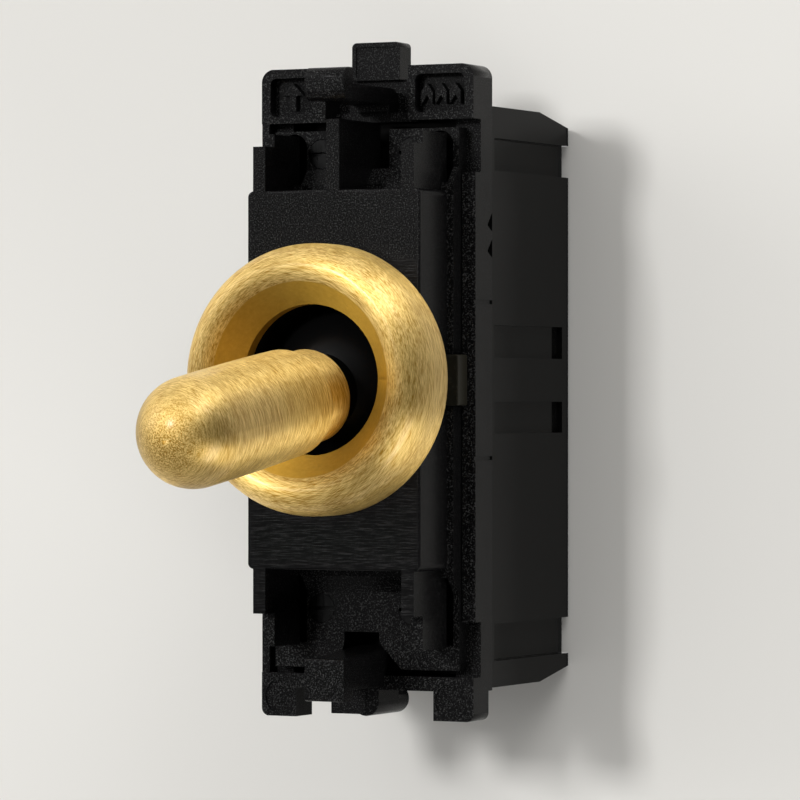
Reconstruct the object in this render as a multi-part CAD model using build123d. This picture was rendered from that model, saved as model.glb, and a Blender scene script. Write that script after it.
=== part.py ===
from build123d import *
import math
import os

# A dolly switch module for a grid frame. Lengths are millimetres and angles degrees.
# X runs across the module, Y from the front to the rear, and Z is up.
# The origin is where the dolly's centre line, when level, crosses the front panel.

# Carrier frame
FRAME_W = 18.22
FRAME_TOP = 24.05
FRAME_BAR_BOTTOM = -23.7
FRAME_FRONT = 5.6
FRAME_T = 3.3
FRAME_CORNER = 1.0
RAIL_W = 1.11
RAIL_SETBACK = 0.35
RAIL_END_SETBACK = 1.3
RAIL_STEP_TOP_H = 4.05
RAIL_STEP_BOTTOM_H = 4.2
TOP_BAR_H = 4.2
BOTTOM_BAR_H = 1.1
LEDGE_W = 1.0
LATCH_GAP_W = 7.1
BRIDGE_T = 0.75
BRIDGE_DEPTH = 1.5
WEB_T = 0.9
WEB_DROP = 1.35
FOOT_LEFT_W = 3.0
FOOT_RIGHT_W = 3.4
FOOT_DROP = 2.25
FOOT_DEPTH = 2.65
FOOT_ROUND = 0.6
PIN_MARK_R = 1.3
PIN_MARK_DEPTH = 0.15
PIN_MARK_LEFT_INSET = 1.6
PIN_MARK_RIGHT_INSET = 1.95
PIN_MARK_DROP = 0.74
TAG_DEPTH = 0.9
TAG_H = 2.95
TAG_TOP_MARGIN = 0.7
TAG_LEFT_W = 3.77
TAG_RIGHT_W = 4.2
TAG_SIDE_MARGIN = 0.75
TAG_ROUND = 0.5
SEAM_DEPTH = 0.12
SEAM_W = 0.3
SEAM_Z = 5.95
SIDE_NOTCHES = (12.1, 10.1)
SIDE_NOTCH_H = 1.44
SIDE_NOTCH_REACH = 0.84
SIDE_NOTCH_BULGE_DROP = 0.24
SIDE_NOTCH_CURL_DROP = 0.54
SIDE_NOTCH_DEPTH = 0.4

# Finger latches of the carrier frame
LATCH_W = 3.3
LATCH_FRONT = -1.42
LATCH_PAD_DEPTH = 1.55
LATCH_NECKING = 0.1
TOP_PAD_DROP = 0.45
TOP_PAD_H = 2.5
TOP_PAD_ROUND = 0.83
TOP_ARM_DROP = 1.2
TOP_ARM_T = 1.25
TOP_ARM_BEND = 1.3
TOP_ARM_REAR_INSET = 0.7
TOP_ARM_ROOT_INSET = 2.54
CATCH_W = 4.14
CATCH_SHIFT = -0.13
CATCH_T = 1.89
CATCH_OVERHANG = 0.45
CATCH_RISE = 1.98
CATCH_DROP = 0.95
CATCH_ROUND = 0.4
CATCH_RIM = 0.35
CATCH_DISH = 0.12
LATCH_GAP = 0.3
LOW_PAD_RISE = 1.6
LOW_PAD_H = 3.26
LOW_PAD_ROUND = 0.25
LOW_ARM_T = 2.3
LOW_ARM_RISE = 0.6
HOOK_W = 2.96
HOOK_PROUD = 0.16
HOOK_T = 1.96
HOOK_DROP = 1.9
HOOK_ROOT = 0.5
STUD_R = 1.1
STUD_PROUD = 0.1
STUD_REACH = 2.1
STUD_ROUND = 0.4
STUD_CLEAR = 0.03

# Front cover
PANEL_SIDE_MARGIN = 1.76
PANEL_H = 28.8
PANEL_T = 1.0
PANEL_EDGE = 0.18
PANEL_CORNER = 0.45
COVER_WALL = 1.0
COVER_FIT = 0.1
FLANGE_RAISE = 1.0
FLANGE_TOP_GAP = 0.65
FLANGE_BOTTOM_GAP = 0.5
RAMP_OFFSET = 0.6
RAMP_LENGTH = 1.2
END_WALL_INSET = 1.55
END_WALL_T = 1.05
END_WALL_TOP_SHORT = 1.4
END_WALL_BOTTOM_SHORT = 4.3
STEP_FRONT = 1.5
STEP_TOP_SHORT = 0.4
STEP_BOTTOM_LAP = 0.15
DIVIDER_W = 1.1
DIVIDER_SHORT = 0.1
ARCH_MARGIN_IN = 0.65
ARCH_MARGIN_OUT = 0.5
ARCH_OFFSET = 0.6
ARCH_TOP_SHORT = 0.2
ARCH_BOTTOM_SHORT = 1.9
ARCH_FLAT = 0.05
SLOT_W = 1.4
NOTCH_H = 2.8
NOTCH_STRAIGHT = 0.8
NOTCH_LEFT = 1.9
NOTCH_RIGHT = 1.1
NOTCH_FLARE_LEFT = 2.6
NOTCH_FLARE_RIGHT = 3.0
OPENING_INSET = 0.9
COLLAR_T = 1.1
COLLAR_H = 2.6
SEAT_GAP = 0.3
CLIP_NOTCH_GAP = 0.07

# Brass bezel ring
RING_R = 10.25
RING_H = 6.0
RING_WAIST_H = 3.2
RING_ROUND_W = 1.81
RING_EDGE_IN = 1.1
RING_LIP_STEP = 0.12
RING_LIP_H = 3.63
RING_BASE_ROUND = 1.5
RING_FIT = 0.03

# Dolly and actuator, measured along their own centre line from the pivot
PIVOT_Y = 4.4
TILT = 8.3
TIP_R = 4.1
TIP_CENTRE = 26.3
BODY_R = 4.05
BODY_BULGE = 0.08
RIM_AT = 12.0
RIM_ROUND = 0.35
NECK_R = 3.55
NECK_END = 8.5
SPIGOT_R = 2.2
SPIGOT_L = 3.9
SPIGOT_FIT = 0.02
DOME_CHEEK = 0.6
DOME_SIDE_GAP = 0.25
DOME_BACK = 2.4
BOSS_R = 2.9
TAIL_R = 2.6
TAIL_END = 7.2
PLUNGER_BORE_START = 2.2
PIN_R = 1.0
PIN_RUNNING_FIT = 0.05
PIN_SEAT_FIT = 0.02
PIN_SKIN = 0.35
PIN_END_GAP = 0.05
POST_HALF_H = 0.8
POST_FOOT = 2.0
POST_FOOT_START = 0.3
POST_ROOT = 0.2

# Spring and plunger, measured backwards from the pivot
NOSE_AT = 9.0
NOSE_R = 1.2
NOSE_SLOPE = 0.4
PLUNGER_R = 1.55
PLUNGER_FIT = 0.05
PLUNGER_SHOULDER = 5.6
PLUNGER_STEM_R = 0.75
PLUNGER_STEM_L = 1.4
SPRING_COIL_R = 1.15
SPRING_WIRE_R = 0.2
SPRING_END_GAP = 0.03
SPRING_TURNS = 3

# Contact rocker
ROCKER_TILT = 7.5
NOSE_GAP = 0.1
FULCRUM_GAP = 0.05
ROCKER_W = 5.0
ROCKER_T = 0.8
ROCKER_END = 1.6
ROCKER_CORNER = 0.6
ROCKER_EAR_H = 3.2
ROCKER_EAR_T = 0.6
ROCKER_EAR_DEPTH = 1.3
CONTACT_Z = 6.3
CONTACT_R = 1.4
CONTACT_DOME_R = 3.0
CONTACT_T = 0.6
CONTACT_GAP = 0.06
RIVET_TAIL_R = 0.9
RIVET_TAIL_T = 0.35
RIVET_FIT = 0.01

# Strips, terminals and terminal screws
STRIP_T = 0.8
STRIP_W = 3.0
FIXED_CONTACT_T = 0.7
FIXED_CONTACT_R = 1.5
COMMON_STRIP_W = 4.4
COMMON_STRIP_GAP = 1.2
KNIFE_T = 1.2
KNIFE_POINT = 1.2
TERMINAL_W = 6.0
TERMINAL_H = 7.0
TERMINAL_DEPTH = 7.0
TERMINAL_SIDE_GAP = 0.5
TERMINAL_END_GAP = 1.15
COMMON_END_GAP = 3.7
WIRE_R = 1.9
WIRE_DEPTH = 3.0
CLAMP_R = 1.6
CLAMP_FIT = 0.02
CLAMP_TIP_GAP = 0.1
CLAMP_HEAD_R = 2.3
CLAMP_HEAD_T = 1.5
CLAMP_HEAD_GAP = 0.3
CLAMP_SLOT_W = 0.7
CLAMP_SLOT_DEPTH = 0.7

# Rear housing
HOUSING_DEPTH = 14.2
HOUSING_SIDE_STEP = 0.01
HOUSING_TOP_STEP = 3.1
HOUSING_BOTTOM_STEP = 0.2
HOUSING_WALL = 1.3
HOUSING_REAR_WALL = 2.5
HOUSING_EDGE = 0.35
SLOPE_L = 5.6
SLOPE_DROP = 1.05
CAP_H = 2.4
CAP_BOTTOM_H = 2.0
BAND_TOP_H = 2.5
BAND_BOTTOM_H = 2.85
BAND_DEPTH = 0.7
BAND_START = 0.4
UPPER_SLOT_Z = 2.97
UPPER_SLOT_H = 2.5
LOWER_SLOT_Z = 2.865
LOWER_SLOT_H = 2.43
SLOT_DEPTH = 0.45
SLOT_SHORT = 1.45
ENTRY_FIT = 0.4
HEAD_HOLE_FIT = 0.3
RIB_T = 1.2
RIB_OFFSET = 2.0
END_WEB_T = 0.8

# Case screws and side clips
SCREW_ARCH_WALL = 0.11
SCREW_TOP_MARGIN = 1.79
SCREW_BOTTOM_MARGIN = 4.56
SCREW_R = 0.6
SCREW_HEAD_R = 1.1
SCREW_HEAD_T = 0.7
SCREW_END_GAP = 1.4
SCREW_FIT = 0.02
SCREW_HEAD_FIT = 0.04
SCREW_SLOT_W = 0.3
SCREW_SLOT_DEPTH = 0.3
BOSS_WALL = 0.9
BOSS_GAP = 0.7
BOSS_END = 0.4
CLIP_H = 3.86
CLIP_REACH = 1.11
CLIP_PROUD = 0.35
CLIP_GAP = 0.05

# Places worked out from the sizes above
PANEL_W = FRAME_W - 2 * PANEL_SIDE_MARGIN
FRAME_REAR = FRAME_FRONT + FRAME_T
RAIL_FRONT = FRAME_FRONT + RAIL_SETBACK
RAIL_END_FRONT = FRAME_FRONT + RAIL_END_SETBACK
BAR_TOP_LOWER_EDGE = FRAME_TOP - TOP_BAR_H
BAR_BOTTOM_UPPER_EDGE = FRAME_BAR_BOTTOM + BOTTOM_BAR_H
RAIL_OUTER = FRAME_W / 2
RAIL_INNER = RAIL_OUTER - RAIL_W
BRIDGE_FRONT = FRAME_REAR - BRIDGE_DEPTH
BRIDGE_TOP = BAR_TOP_LOWER_EDGE + BRIDGE_T
FLANGE_W = 2 * (RAIL_INNER - COVER_FIT)
FLANGE_TOP = BAR_TOP_LOWER_EDGE - FLANGE_TOP_GAP
FLANGE_BOTTOM = BAR_BOTTOM_UPPER_EDGE + FLANGE_BOTTOM_GAP
FLANGE_END_FRONT = FRAME_FRONT
FLANGE_FRONT = FLANGE_END_FRONT - FLANGE_RAISE
END_WALL_INNER = PANEL_W / 2 - END_WALL_INSET
ARCH_INNER = END_WALL_INNER - ARCH_MARGIN_IN
ARCH_OUTER = FLANGE_W / 2 - ARCH_MARGIN_OUT
ARCH_R = (ARCH_OUTER - ARCH_INNER - ARCH_FLAT) / 2
HOUSING_W = FRAME_W - 2 * HOUSING_SIDE_STEP
HOUSING_REAR = FRAME_REAR + HOUSING_DEPTH
HOUSING_TOP = FRAME_TOP - HOUSING_TOP_STEP
HOUSING_BOTTOM = FRAME_BAR_BOTTOM + HOUSING_BOTTOM_STEP
INSIDE_TOP = HOUSING_TOP - HOUSING_WALL
INSIDE_BOTTOM = HOUSING_BOTTOM + HOUSING_WALL
INSIDE_REAR = HOUSING_REAR - HOUSING_REAR_WALL
INSIDE_W = HOUSING_W - 2 * HOUSING_WALL
CAVITY_X = PANEL_W / 2 - COVER_WALL
CAVITY_Z = PANEL_H / 2 - COVER_WALL
DOME_W = 2 * (CAVITY_X - DOME_SIDE_GAP)
DOME_R = DOME_W / 2 + DOME_CHEEK
OPENING_R = DOME_R - OPENING_INSET
COLLAR_R = OPENING_R + COLLAR_T
RING_LIP_R = OPENING_R - RING_LIP_STEP
PIN_REACH = PANEL_W / 2 - PIN_SKIN
PLUNGER_BORE_R = PLUNGER_R + PLUNGER_FIT
FULCRUM_Y = PIVOT_Y + NOSE_AT + NOSE_GAP + ROCKER_T
TERMINAL_X = INSIDE_W / 2 - TERMINAL_SIDE_GAP - TERMINAL_W / 2
TERMINAL_Z = INSIDE_TOP - TERMINAL_END_GAP - TERMINAL_H / 2
COMMON_TERMINAL_Z = INSIDE_BOTTOM + COMMON_END_GAP + TERMINAL_H / 2
TERMINAL_FRONT = INSIDE_REAR - TERMINAL_DEPTH
WIRE_Y = TERMINAL_FRONT + WIRE_DEPTH
BOSS_REAR = TERMINAL_FRONT - BOSS_GAP
SCREW_END = BOSS_REAR - BOSS_END - SCREW_END_GAP
SCREW_X = ARCH_INNER - SCREW_ARCH_WALL - SCREW_HEAD_FIT - SCREW_HEAD_R
SCREW_TOP_Z = FLANGE_TOP - SCREW_TOP_MARGIN
SCREW_BOTTOM_Z = FLANGE_BOTTOM + SCREW_BOTTOM_MARGIN
BOSS_OUTER_R = SCREW_R + BOSS_WALL


def block(x0, x1, y0, y1, z0, z1):
    """A box between the given limits."""
    centre = ((x0 + x1) / 2, (y0 + y1) / 2, (z0 + z1) / 2)
    return Pos(*centre) * Box(abs(x1 - x0), abs(y1 - y0), abs(z1 - z0))


def rod_y(radius, y0, y1, x=0.0, z=0.0):
    """A cylinder along Y."""
    return Pos(x, (y0 + y1) / 2, z) * Rot(90, 0, 0) * Cylinder(radius, abs(y1 - y0))


def rod_x(radius, x0, x1, y=0.0, z=0.0):
    """A cylinder along X."""
    return Pos((x0 + x1) / 2, y, z) * Rot(0, 90, 0) * Cylinder(radius, abs(x1 - x0))


def rod_z(radius, z0, z1, x=0.0, y=0.0):
    """A cylinder along Z."""
    return Pos(x, y, (z0 + z1) / 2) * Cylinder(radius, abs(z1 - z0))


def side_profile(points, half_width):
    """An outline of (Y, Z) points, extruded evenly about X = 0."""
    face = Plane.YZ.offset(-half_width) * make_face(Polyline(*points, close=True))
    return extrude(face, amount=2 * half_width)


def front_profile(points, y0, y1):
    """An outline of (X, Z) points, extruded from y0 back to y1."""
    face = Plane.XZ.offset(-y0) * make_face(Polyline(*points, close=True))
    return extrude(face, amount=-(y1 - y0))


def both_sides(solid):
    """A solid and its mirror image across X = 0."""
    return solid + mirror(solid, about=Plane.YZ)


def pose(solid):
    """Tips a solid of the dolly about the pivot into its resting place, nose down."""
    return solid.rotate(Axis((0, PIVOT_Y, 0), (1, 0, 0)), TILT)


def along(distance):
    """The Y of a point on the level dolly's centre line, in front of the pivot."""
    return PIVOT_Y - distance


def top_latch():
    """Rounded finger pad and its arm that bends down to the bridge, and the catch on its neck."""
    pad_rear = LATCH_FRONT + LATCH_PAD_DEPTH
    pad_top = FRAME_TOP - TOP_PAD_DROP
    pad_bottom = pad_top - TOP_PAD_H
    arm_top = pad_top - TOP_ARM_DROP
    arm_bottom = arm_top - TOP_ARM_T
    half = LATCH_W / 2 - LATCH_NECKING
    pad = block(-LATCH_W / 2, LATCH_W / 2, LATCH_FRONT, pad_rear, pad_bottom, pad_top)
    pad = fillet(pad.edges().filter_by(Axis.X).group_by(Axis.Y)[0], TOP_PAD_ROUND)
    arm_rear = FRAME_REAR - TOP_ARM_REAR_INSET
    arm_root = FRAME_REAR - TOP_ARM_ROOT_INSET
    arm = block(-half, half, pad_rear - LATCH_GAP, arm_rear, arm_bottom, arm_top)
    arm += block(-half, half, arm_root, arm_rear, BAR_TOP_LOWER_EDGE, arm_top)
    top_edges = arm.edges().filter_by(Axis.X).group_by(Axis.Z)[-1]
    arm = fillet(top_edges.sort_by(Axis.Y)[-1], TOP_ARM_BEND)
    arm -= block(-half, half, arm_root, BRIDGE_FRONT, BAR_TOP_LOWER_EDGE, BRIDGE_TOP)
    neck = block(-half, half, FRAME_REAR - WEB_T, FRAME_REAR, BRIDGE_TOP, FRAME_TOP - CATCH_DROP)
    return pad + arm + neck + top_catch()


def top_catch():
    """Catch above the bar, rounded at the top, with a raised rim round its front face."""
    rear = FRAME_REAR + CATCH_OVERHANG
    front = rear - CATCH_T
    left = CATCH_SHIFT - CATCH_W / 2
    right = CATCH_SHIFT + CATCH_W / 2
    bottom = FRAME_TOP - CATCH_DROP
    top = FRAME_TOP + CATCH_RISE
    catch = block(left, right, front, rear, bottom, top)
    catch = fillet(catch.edges().filter_by(Axis.Y).group_by(Axis.Z)[-1], CATCH_ROUND)
    return catch - block(left + CATCH_RIM, right - CATCH_RIM, front, front + CATCH_DISH,
                         bottom + CATCH_RIM, top - CATCH_RIM)


def bottom_latch():
    """Square finger pad on its deep arm, and the hook block and stud under the bar."""
    pad_rear = LATCH_FRONT + LATCH_PAD_DEPTH
    pad_top = BAR_BOTTOM_UPPER_EDGE + LOW_PAD_RISE
    arm_rear_top = pad_top + LOW_ARM_RISE
    arm_top = pad_top - LATCH_NECKING
    pad = block(-LATCH_W / 2, LATCH_W / 2, LATCH_FRONT, pad_rear, pad_top - LOW_PAD_H, pad_top)
    pad = fillet(pad.edges().filter_by(Axis.X), LOW_PAD_ROUND)
    arm = side_profile([
        (pad_rear - LATCH_GAP, arm_top),
        (BRIDGE_FRONT, arm_rear_top),
        (FRAME_REAR, arm_rear_top),
        (FRAME_REAR, BAR_BOTTOM_UPPER_EDGE),
        (BRIDGE_FRONT, BAR_BOTTOM_UPPER_EDGE),
        (FRAME_FRONT + LATCH_GAP, arm_top - LOW_ARM_T),
        (pad_rear - LATCH_GAP, arm_top - LOW_ARM_T),
    ], LATCH_W / 2 - LATCH_NECKING)
    front = FRAME_FRONT - HOOK_PROUD
    rear = front + HOOK_T
    hook = block(-HOOK_W, 0, front, rear, FRAME_BAR_BOTTOM - HOOK_DROP, FRAME_BAR_BOTTOM)
    hook += block(-HOOK_W, 0, FRAME_FRONT, rear, FRAME_BAR_BOTTOM, FRAME_BAR_BOTTOM + HOOK_ROOT)
    stud_z = HOUSING_BOTTOM - STUD_CLEAR - STUD_R
    stud_front = FRAME_FRONT - STUD_PROUD
    stud = rod_y(STUD_R, stud_front, FRAME_REAR + STUD_REACH, z=stud_z)
    stud = fillet(stud.edges().sort_by(Axis.Y)[-1], STUD_ROUND)
    stud += block(-STUD_R, STUD_R, stud_front, FRAME_REAR, stud_z, FRAME_BAR_BOTTOM + HOOK_ROOT)
    return pad + arm + hook + stud


def tag_pocket(centre_x, width):
    """The rounded pocket in an end block that holds a raised tag mark."""
    top = FRAME_TOP - TAG_TOP_MARGIN
    pocket = block(centre_x - width / 2, centre_x + width / 2,
                   FRAME_FRONT, FRAME_FRONT + TAG_DEPTH, top - TAG_H, top)
    return fillet(pocket.edges().filter_by(Axis.Y), TAG_ROUND)


def foot(side, width):
    """A foot at the left (-1) or right (1) lower corner, rounded at its outer corner."""
    top = FRAME_BAR_BOTTOM
    outer = side * RAIL_OUTER
    solid = block(outer - side * width, outer, FRAME_FRONT, FRAME_FRONT + FOOT_DEPTH, top - FOOT_DROP, top)
    low_edges = solid.edges().filter_by(Axis.Y).group_by(Axis.Z)[0].sort_by(Axis.X)
    return fillet(low_edges[-1] if side > 0 else low_edges[0], FOOT_ROUND)


def pin_mark(side, inset):
    """The shallow round mark of a foot."""
    return rod_y(PIN_MARK_R, FRAME_FRONT, FRAME_FRONT + PIN_MARK_DEPTH,
                 side * (RAIL_OUTER - inset), FRAME_BAR_BOTTOM - PIN_MARK_DROP)


def side_notch(z):
    """Small pointed notch in the right rear edge of the frame."""
    half = SIDE_NOTCH_H / 2
    notch = side_profile([
        (FRAME_REAR, z + half),
        (FRAME_REAR - SIDE_NOTCH_REACH, z - SIDE_NOTCH_BULGE_DROP),
        (FRAME_REAR - SIDE_NOTCH_REACH / 2, z - SIDE_NOTCH_CURL_DROP),
        (FRAME_REAR, z - half),
    ], SIDE_NOTCH_DEPTH / 2)
    return Pos(RAIL_OUTER - SIDE_NOTCH_DEPTH / 2, 0, 0) * notch


def rail_cuts():
    """What is taken off the rails: a set-back, deeper steps at the ends, seams and side notches."""
    step_top = BAR_TOP_LOWER_EDGE - RAIL_STEP_TOP_H
    step_bottom = BAR_BOTTOM_UPPER_EDGE + RAIL_STEP_BOTTOM_H
    cuts = block(RAIL_INNER, RAIL_OUTER, FRAME_FRONT, RAIL_FRONT, step_bottom, step_top)
    cuts += block(RAIL_INNER, RAIL_OUTER, FRAME_FRONT, RAIL_END_FRONT, step_top, BAR_TOP_LOWER_EDGE)
    cuts += block(RAIL_INNER, RAIL_OUTER, FRAME_FRONT, RAIL_END_FRONT, BAR_BOTTOM_UPPER_EDGE, step_bottom)
    for z in (-SEAM_Z, SEAM_Z):
        cuts += block(RAIL_OUTER - SEAM_DEPTH, RAIL_OUTER, RAIL_FRONT, FRAME_REAR,
                      z - SEAM_W / 2, z + SEAM_W / 2)
    cuts = both_sides(cuts)
    for z in SIDE_NOTCHES:
        cuts += side_notch(z)
    return cuts


def carrier_frame():
    """Moulded frame with end bars, rails, feet and both latches."""
    frame = block(-RAIL_OUTER, RAIL_OUTER, FRAME_FRONT, FRAME_REAR, FRAME_BAR_BOTTOM, FRAME_TOP)
    frame = fillet(frame.edges().filter_by(Axis.Y).group_by(Axis.Z)[-1], FRAME_CORNER)
    frame = frame + foot(-1, FOOT_LEFT_W) + foot(1, FOOT_RIGHT_W)
    frame = frame - pin_mark(-1, PIN_MARK_LEFT_INSET) - pin_mark(1, PIN_MARK_RIGHT_INSET)
    frame -= block(-RAIL_INNER, RAIL_INNER, FRAME_FRONT, RAIL_END_FRONT,
                   BAR_BOTTOM_UPPER_EDGE, BAR_TOP_LOWER_EDGE)
    ledge = RAIL_INNER - LEDGE_W
    frame -= block(-ledge, ledge, FRAME_FRONT, FRAME_REAR, BAR_BOTTOM_UPPER_EDGE, BAR_TOP_LOWER_EDGE)
    frame -= rail_cuts()
    half_gap = LATCH_GAP_W / 2
    web_front = FRAME_REAR - WEB_T
    frame -= block(-half_gap, half_gap, web_front, FRAME_REAR, FRAME_TOP - WEB_DROP, FRAME_TOP)
    frame -= block(-half_gap, half_gap, FRAME_FRONT, web_front, BRIDGE_TOP, FRAME_TOP)
    frame -= block(-half_gap, half_gap, FRAME_FRONT, BRIDGE_FRONT, BAR_TOP_LOWER_EDGE, BRIDGE_TOP)
    frame -= tag_pocket(-RAIL_OUTER + TAG_SIDE_MARGIN + TAG_LEFT_W / 2, TAG_LEFT_W)
    frame -= tag_pocket(RAIL_OUTER - TAG_SIDE_MARGIN - TAG_RIGHT_W / 2, TAG_RIGHT_W)
    return frame + top_latch() + bottom_latch()


def aperture(z0, z1):
    """Square-cornered aperture in the flange."""
    return block(ARCH_INNER, ARCH_OUTER, FLANGE_FRONT, RAIL_END_FRONT, z0, z1)


def cover_flange():
    """Flange that ramps back at its ends, with the corner apertures, slot and arm notch."""
    ramp_start = PANEL_H / 2 + RAMP_OFFSET
    ramp_end = ramp_start + RAMP_LENGTH
    flange = side_profile([
        (FLANGE_END_FRONT, FLANGE_BOTTOM),
        (FLANGE_END_FRONT, -ramp_end),
        (FLANGE_FRONT, -ramp_start),
        (FLANGE_FRONT, ramp_start),
        (FLANGE_END_FRONT, ramp_end),
        (FLANGE_END_FRONT, FLANGE_TOP),
        (RAIL_END_FRONT, FLANGE_TOP),
        (RAIL_END_FRONT, FLANGE_BOTTOM),
    ], FLANGE_W / 2)
    arch_start = PANEL_H / 2 + ARCH_OFFSET
    arch = aperture(arch_start, FLANGE_TOP - ARCH_TOP_SHORT)
    arch = fillet(arch.edges().filter_by(Axis.Y).group_by(Axis.Z)[-1], ARCH_R)
    flange -= both_sides(arch + aperture(FLANGE_BOTTOM + ARCH_BOTTOM_SHORT, -arch_start))
    flange -= block(DIVIDER_W / 2, DIVIDER_W / 2 + SLOT_W, FLANGE_FRONT, RAIL_END_FRONT, ramp_end, FLANGE_TOP)
    notch_top = FLANGE_BOTTOM + NOTCH_H
    flare_top = notch_top - NOTCH_STRAIGHT
    return flange - front_profile([
        (-NOTCH_LEFT, notch_top),
        (NOTCH_RIGHT, notch_top),
        (NOTCH_RIGHT, flare_top),
        (NOTCH_FLARE_RIGHT, FLANGE_BOTTOM),
        (-NOTCH_FLARE_LEFT, FLANGE_BOTTOM),
        (-NOTCH_LEFT, flare_top),
    ], FLANGE_FRONT, RAIL_END_FRONT)


def end_walls():
    """Stepped walls beside the end pockets, and the divider of the upper pocket."""
    inner = END_WALL_INNER
    outer = inner + END_WALL_T
    half_h = PANEL_H / 2
    high = FLANGE_TOP - END_WALL_TOP_SHORT
    low = FLANGE_BOTTOM + END_WALL_BOTTOM_SHORT
    wall = block(inner, outer, 0, FLANGE_END_FRONT, half_h - COVER_WALL, high)
    wall += block(inner, outer, STEP_FRONT, FLANGE_END_FRONT, high, FLANGE_TOP - STEP_TOP_SHORT)
    wall += block(inner, outer, 0, FLANGE_END_FRONT, low, -half_h + COVER_WALL)
    lap = FLANGE_BOTTOM + ARCH_BOTTOM_SHORT - STEP_BOTTOM_LAP
    wall += block(inner, outer, STEP_FRONT, FLANGE_END_FRONT, lap, low)
    divider = block(-DIVIDER_W / 2, DIVIDER_W / 2, 0, RAIL_END_FRONT, half_h - COVER_WALL,
                    BAR_TOP_LOWER_EDGE - DIVIDER_SHORT)
    return both_sides(wall) + divider


def front_cover():
    """Raised panel with its collar, on a flange with end pockets and walls."""
    half_w = PANEL_W / 2
    half_h = PANEL_H / 2
    panel = block(-half_w, half_w, 0, RAIL_END_FRONT, -half_h, half_h)
    panel = fillet(panel.edges().filter_by(Axis.Y), PANEL_CORNER)
    panel = fillet(panel.faces().sort_by(Axis.Y)[0].edges(), PANEL_EDGE)
    cover = panel + cover_flange() + end_walls()
    cover += rod_y(COLLAR_R, -COLLAR_H, PANEL_T)
    cover -= block(-CAVITY_X, CAVITY_X, PANEL_T, RAIL_END_FRONT, -CAVITY_Z, CAVITY_Z)
    cover -= rod_y(OPENING_R, -COLLAR_H, PANEL_T)
    seat = Pos(0, PIVOT_Y, 0) * Sphere(DOME_R + SEAT_GAP)
    cover -= seat & block(-CAVITY_X, CAVITY_X, -COLLAR_H, RAIL_END_FRONT, -CAVITY_Z, CAVITY_Z)
    slot_r = PIN_R + PIN_SEAT_FIT
    cover -= rod_x(slot_r, -PIN_REACH, PIN_REACH, PIVOT_Y)
    cover -= block(-PIN_REACH, PIN_REACH, PIVOT_Y, RAIL_END_FRONT, -slot_r, slot_r)
    notch = CLIP_H / 2 + CLIP_NOTCH_GAP
    cover -= both_sides(block(half_w, FLANGE_W / 2, FLANGE_FRONT, RAIL_END_FRONT, -notch, notch))
    for x, z in screw_places():
        cover -= rod_y(SCREW_R + SCREW_FIT, FLANGE_FRONT, RAIL_END_FRONT, x, z)
        cover -= rod_y(SCREW_HEAD_R + SCREW_HEAD_FIT, FLANGE_FRONT, FLANGE_END_FRONT + SCREW_HEAD_T, x, z)
    return cover


def screw_places():
    """Centre (X, Z) of each case screw."""
    return [(x, z) for x in (-SCREW_X, SCREW_X) for z in (SCREW_TOP_Z, SCREW_BOTTOM_Z)]


def side_recesses():
    """(z0, z1, depth, rear end) of each recess in the housing's sides."""
    band_rear = HOUSING_REAR
    slot_rear = HOUSING_REAR - SLOT_SHORT
    top = HOUSING_TOP - CAP_H
    bottom = HOUSING_BOTTOM + CAP_BOTTOM_H
    return (
        (top - BAND_TOP_H, top, BAND_DEPTH, band_rear),
        (bottom, bottom + BAND_BOTTOM_H, BAND_DEPTH, band_rear),
        (UPPER_SLOT_Z - UPPER_SLOT_H / 2, UPPER_SLOT_Z + UPPER_SLOT_H / 2, SLOT_DEPTH, slot_rear),
        (-LOWER_SLOT_Z - LOWER_SLOT_H / 2, -LOWER_SLOT_Z + LOWER_SLOT_H / 2, SLOT_DEPTH, slot_rear),
    )


def housing_shell():
    """Outer form of the rear housing with its sloped ends and side recesses."""
    half = HOUSING_W / 2
    slope_start = HOUSING_REAR - SLOPE_L
    shell = side_profile([
        (FRAME_REAR, HOUSING_BOTTOM),
        (slope_start, HOUSING_BOTTOM),
        (HOUSING_REAR, HOUSING_BOTTOM + SLOPE_DROP),
        (HOUSING_REAR, HOUSING_TOP - SLOPE_DROP),
        (slope_start, HOUSING_TOP),
        (FRAME_REAR, HOUSING_TOP),
    ], half)
    shell = fillet(shell.edges().filter_by(Axis.Z).group_by(Axis.Y)[-1], HOUSING_EDGE)
    for z0, z1, depth, rear in side_recesses():
        shell -= both_sides(block(half - depth, half, FRAME_REAR + BAND_START, rear, z0, z1))
    return shell


def screw_bosses():
    """Bosses for the case screws, webbed to the end walls."""
    rear = BOSS_REAR
    bosses = Part()
    for x, z in screw_places():
        wall_z = INSIDE_TOP if z > 0 else INSIDE_BOTTOM
        bosses += rod_y(BOSS_OUTER_R, RAIL_END_FRONT, rear, x, z)
        bosses += block(x - BOSS_OUTER_R, x + BOSS_OUTER_R, FRAME_REAR, rear, z, wall_z)
    for x, z in screw_places():
        bosses -= rod_y(SCREW_R + SCREW_FIT, RAIL_END_FRONT, rear - BOSS_END, x, z)
    return bosses


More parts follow.
